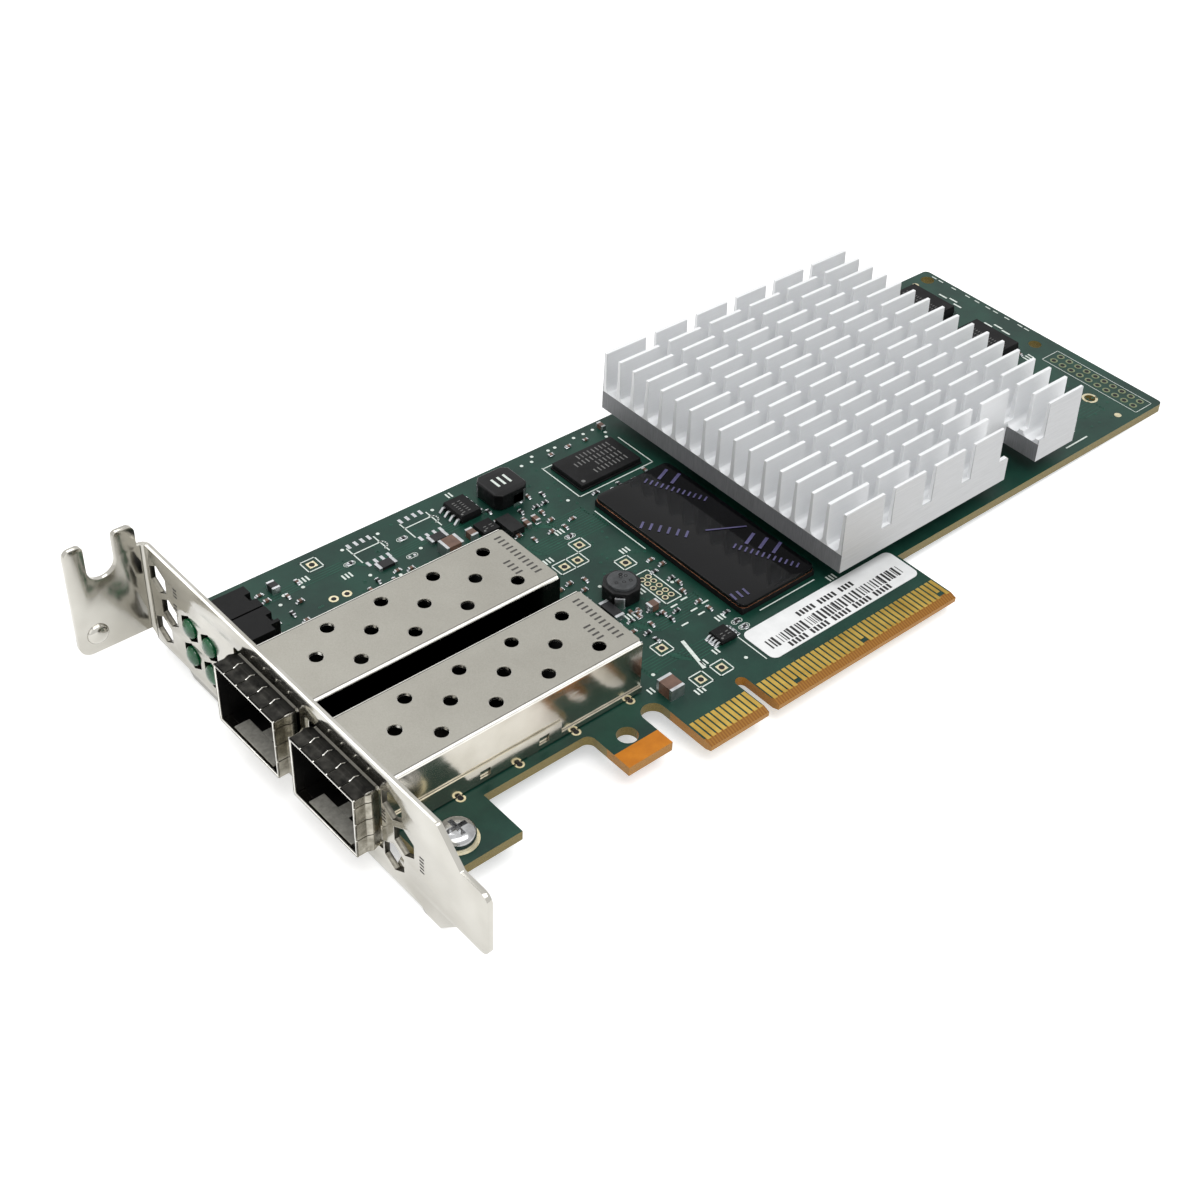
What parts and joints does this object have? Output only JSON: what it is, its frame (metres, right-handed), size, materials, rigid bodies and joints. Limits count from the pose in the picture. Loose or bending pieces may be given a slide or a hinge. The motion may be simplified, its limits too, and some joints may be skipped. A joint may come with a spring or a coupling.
{
  "type": "network interface card",
  "caption": "Low-profile network interface card with transceiver cages behind a folded bracket, an edge connector and a finned heat sink.",
  "frame": {"origin": "centre line of the key slot, on the tongue's edge and on the component face of the board", "axes": "+X along the card from the bracket to the far end, +Y from the contacts to the long top edge, +Z out of the component face"},
  "size_m": [0.1779, 0.0792, 0.0229],
  "materials": {
    "laminate": "green solder mask over glass laminate, satin",
    "gold": "gold plate over nickel",
    "bracket_plate": "nickel-plated sheet, satin",
    "cage_plate": "nickel-plated sheet, bright satin",
    "screw_steel": "zinc plate, bright",
    "black_moulding": "moulded, fine texture",
    "sink_aluminium": "clear anodised extrusion",
    "package_black": "moulded epoxy, matte",
    "thermal_pad": "soft grey pad",
    "film": "dark glossy film on copper foil",
    "label_paper": "coated paper with plain bars",
    "choke_composite": "pressed iron powder",
    "ferrite": "sintered ferrite",
    "tin": "tin plate and solder",
    "ceramic_tan": "fired ceramic",
    "resistor_black": "glazed top coat",
    "lens_green": "clear green moulding"
  },
  "bodies": {
    "root": {"bracket": "bracket_plate", "bracket_screw": "screw_steel", "bulk_capacitor_ends": "tin", "bulk_capacitors": "ceramic_tan", "bus_switch": "package_black", "bus_switch_leads": "tin", "cage_base_1": "cage_plate", "cage_base_2": "cage_plate", "cage_cover_1": "cage_plate", "cage_cover_2": "cage_plate", "choke_terminals": "tin", "circuit_board": "laminate", "clock_buffer": "package_black", "clock_buffer_leads": "tin", "contacts_component_side": "gold", "contacts_solder_side": "gold", "controller_chip": "package_black", "covered_package": "package_black", "drum_core": "ferrite", "drum_shield": "ferrite", "emi_collar_1": "cage_plate", "emi_collar_2": "cage_plate", "filter_choke": "ferrite", "flash_memory": "package_black", "flash_memory_leads": "tin", "gate_driver": "package_black", "gate_driver_leads": "tin", "heat_sink": "sink_aluminium", "heat_spreader": "film", "host_connector_1": "black_moulding", "host_connector_2": "black_moulding", "host_contacts_1": "gold", "host_contacts_2": "gold", "label_sticker": "label_paper", "led_housing": "black_moulding", "led_lens_1": "lens_green", "led_lens_2": "lens_green", "led_lens_3": "lens_green", "led_lens_4": "lens_green", "memory_chip": "package_black", "power_choke": "choke_composite", "regulator_chip": "package_black", "resistor_ends": "tin", "resistors": "resistor_black", "small_capacitor_ends": "tin", "small_capacitors": "ceramic_tan", "thermal_pad": "thermal_pad", "underside_capacitors": "ceramic_tan"}
  },
  "joints": []
}
